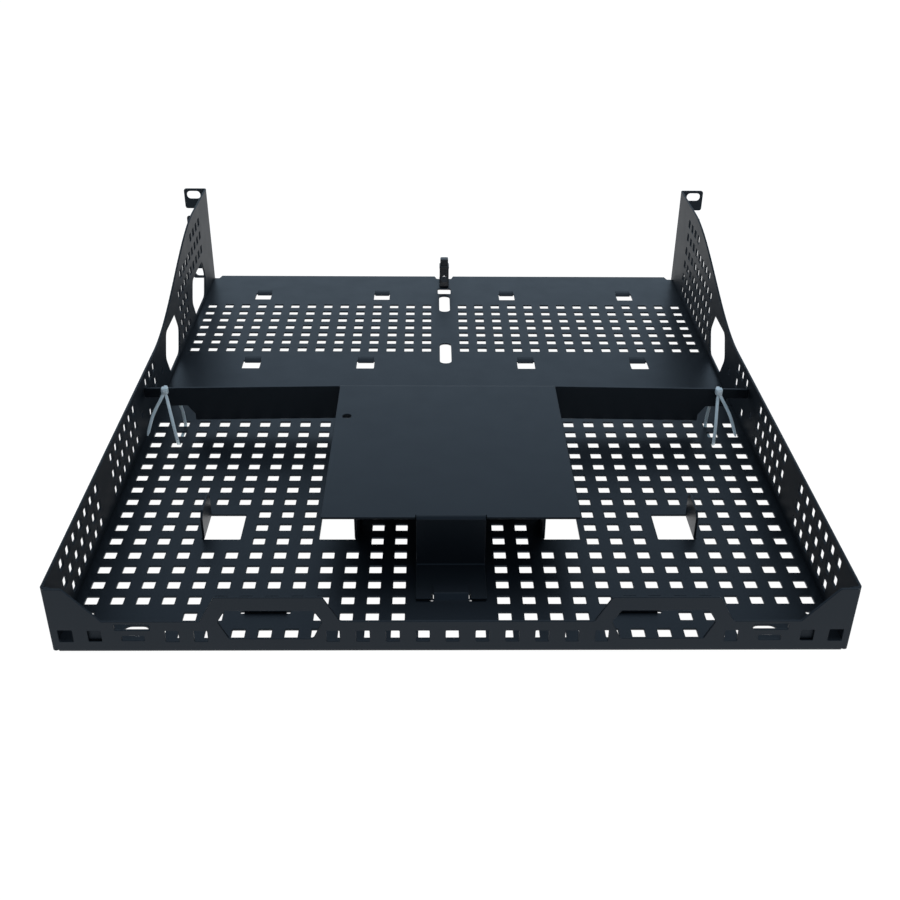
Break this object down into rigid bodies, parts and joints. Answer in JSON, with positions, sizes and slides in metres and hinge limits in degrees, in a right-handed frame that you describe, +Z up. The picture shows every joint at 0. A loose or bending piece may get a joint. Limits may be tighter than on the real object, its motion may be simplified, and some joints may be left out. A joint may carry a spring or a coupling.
{
  "type": "rack-mount equipment tray",
  "caption": "Perforated sheet-steel tray for a 19-inch rack, with rack ears, swept side panels, a low lip with grab handles and a raised device platform.",
  "frame": {"origin": "middle of the footprint, at the lowest point of the strap ramps and ties", "axes": "+X to the right, +Y from the low lip towards the rack ears, +Z up"},
  "size_m": [0.4826, 0.545, 0.0889],
  "materials": {
    "powder_coat_tray": "satin blue-black powder coat",
    "powder_coat_deck": "satin blue-black powder coat",
    "powder_coat_panel": "satin blue-black powder coat",
    "powder_coat_platform": "satin blue-black powder coat",
    "black_plastic": "moulded black plastic",
    "natural_nylon": "translucent natural nylon"
  },
  "bodies": {
    "root": {"front_tray": "powder_coat_tray", "rear_deck": "powder_coat_deck", "side_panel_left": "powder_coat_panel", "side_panel_right": "powder_coat_panel", "device_platform": "powder_coat_platform", "retaining_clip": "black_plastic", "cable_tie_left": "natural_nylon", "cable_tie_right": "natural_nylon"}
  },
  "joints": []
}
